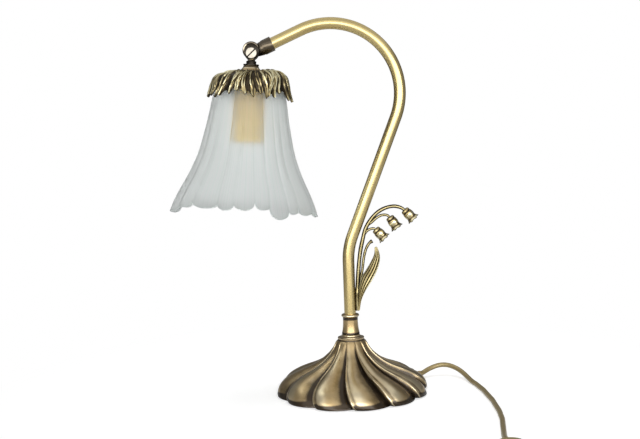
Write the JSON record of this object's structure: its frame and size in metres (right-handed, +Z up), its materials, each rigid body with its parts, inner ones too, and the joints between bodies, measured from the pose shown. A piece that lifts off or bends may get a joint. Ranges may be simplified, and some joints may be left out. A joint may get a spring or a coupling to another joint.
{
  "type": "table lamp",
  "caption": "Table lamp with a petal foot, a bent tube arm with a bell flower sprig, a tilting knuckle and a fluted tulip glass shade in a leaf crown.",
  "frame": {"origin": "centre of the underside of the foot, on the table", "axes": "+Z up the column, the shade hangs towards -X, the front of the lamp faces -Y"},
  "size_m": [0.3424, 0.4276, 0.415],
  "materials": {
    "antique_brass": "antiqued cast brass, dark patina in the hollows and bright worn ridges, satin",
    "satin_brass": "satin gold brass tube, fine lengthwise brushing",
    "dark_bronze": "dark bronzed brass, satin",
    "nickel": "bright nickel plated steel",
    "zinc_steel": "zinc plated steel",
    "cast_iron": "raw cast iron ballast",
    "felt": "dark green felt",
    "frosted_glass": "acid frosted glass, translucent, faintly green",
    "holder_plastic": "amber phenolic",
    "porcelain": "unglazed steatite",
    "contact_brass": "bright rolled brass",
    "gold_cord": "gold coloured PVC sheath, soft gloss",
    "gold_plastic": "gold coloured moulded plastic",
    "dark_plastic": "dark brown moulded plastic",
    "black_rubber": "black rubber",
    "white_lead": "white silicone sleeved lead"
  },
  "bodies": {
    "stand": {"felt_pad": "felt", "base_plate": "zinc_steel", "plate_screws": "zinc_steel", "base_weight": "cast_iron", "base_shell": "antique_brass", "tie_rod": "zinc_steel", "tie_nut": "zinc_steel", "tie_washer": "zinc_steel", "neck_ring": "antique_brass", "column_collar": "antique_brass", "tube_insert": "contact_brass", "arm_tube": "satin_brass", "base_lead": "gold_cord", "arm_lead": "white_lead", "cord_clamp": "dark_plastic", "clamp_screw": "zinc_steel", "earth_screw": "contact_brass", "strain_relief": "gold_plastic", "cord_near": "gold_cord", "switch_lower": "gold_plastic", "switch_upper": "gold_plastic", "switch_screws": "zinc_steel", "cord_far": "gold_cord", "cord_coil": "gold_cord", "coil_tie": "black_rubber", "cord_tail": "gold_cord", "plug_body": "gold_plastic", "plug_pins": "nickel", "sprig_stem": "antique_brass", "sprig_branches": "antique_brass", "sprig_leaf": "antique_brass", "sprig_bud": "antique_brass", "bell_high": "antique_brass", "bell_middle": "antique_brass", "bell_low": "antique_brass", "knuckle_socket": "dark_bronze", "pivot_screw": "nickel", "pivot_nut": "zinc_steel", "spring_washer": "zinc_steel", "friction_washers": "contact_brass"},
    "head": {"head_swivel": "dark_bronze", "head_nipple": "zinc_steel", "cone_cup": "antique_brass", "leaf_crown": "antique_brass", "gasket_upper": "black_rubber", "glass_shade": "frosted_glass", "gasket_lower": "black_rubber", "carrier_washer": "zinc_steel", "head_nut": "zinc_steel", "holder_cap": "holder_plastic", "holder_skirt": "holder_plastic", "holder_core": "porcelain", "screw_shell": "contact_brass", "centre_contact": "contact_brass", "holder_terminals": "contact_brass", "head_lead": "white_lead"},
    "rocker": {"switch_rocker": "dark_plastic"}
  },
  "joints": [
    {"name": "head_tilt", "type": "hinge", "parent": "stand", "child": "head", "pos_m": [-0.09799, 0, 0.37883], "axis": [0, 1, 0], "range_deg": [-12, 55]},
    {"name": "switch_rock", "type": "hinge", "parent": "stand", "child": "rocker", "pos_m": [0.134, -0.257, 0.0105], "axis": [1, 0, 0], "range_deg": [-14, 0]}
  ]
}
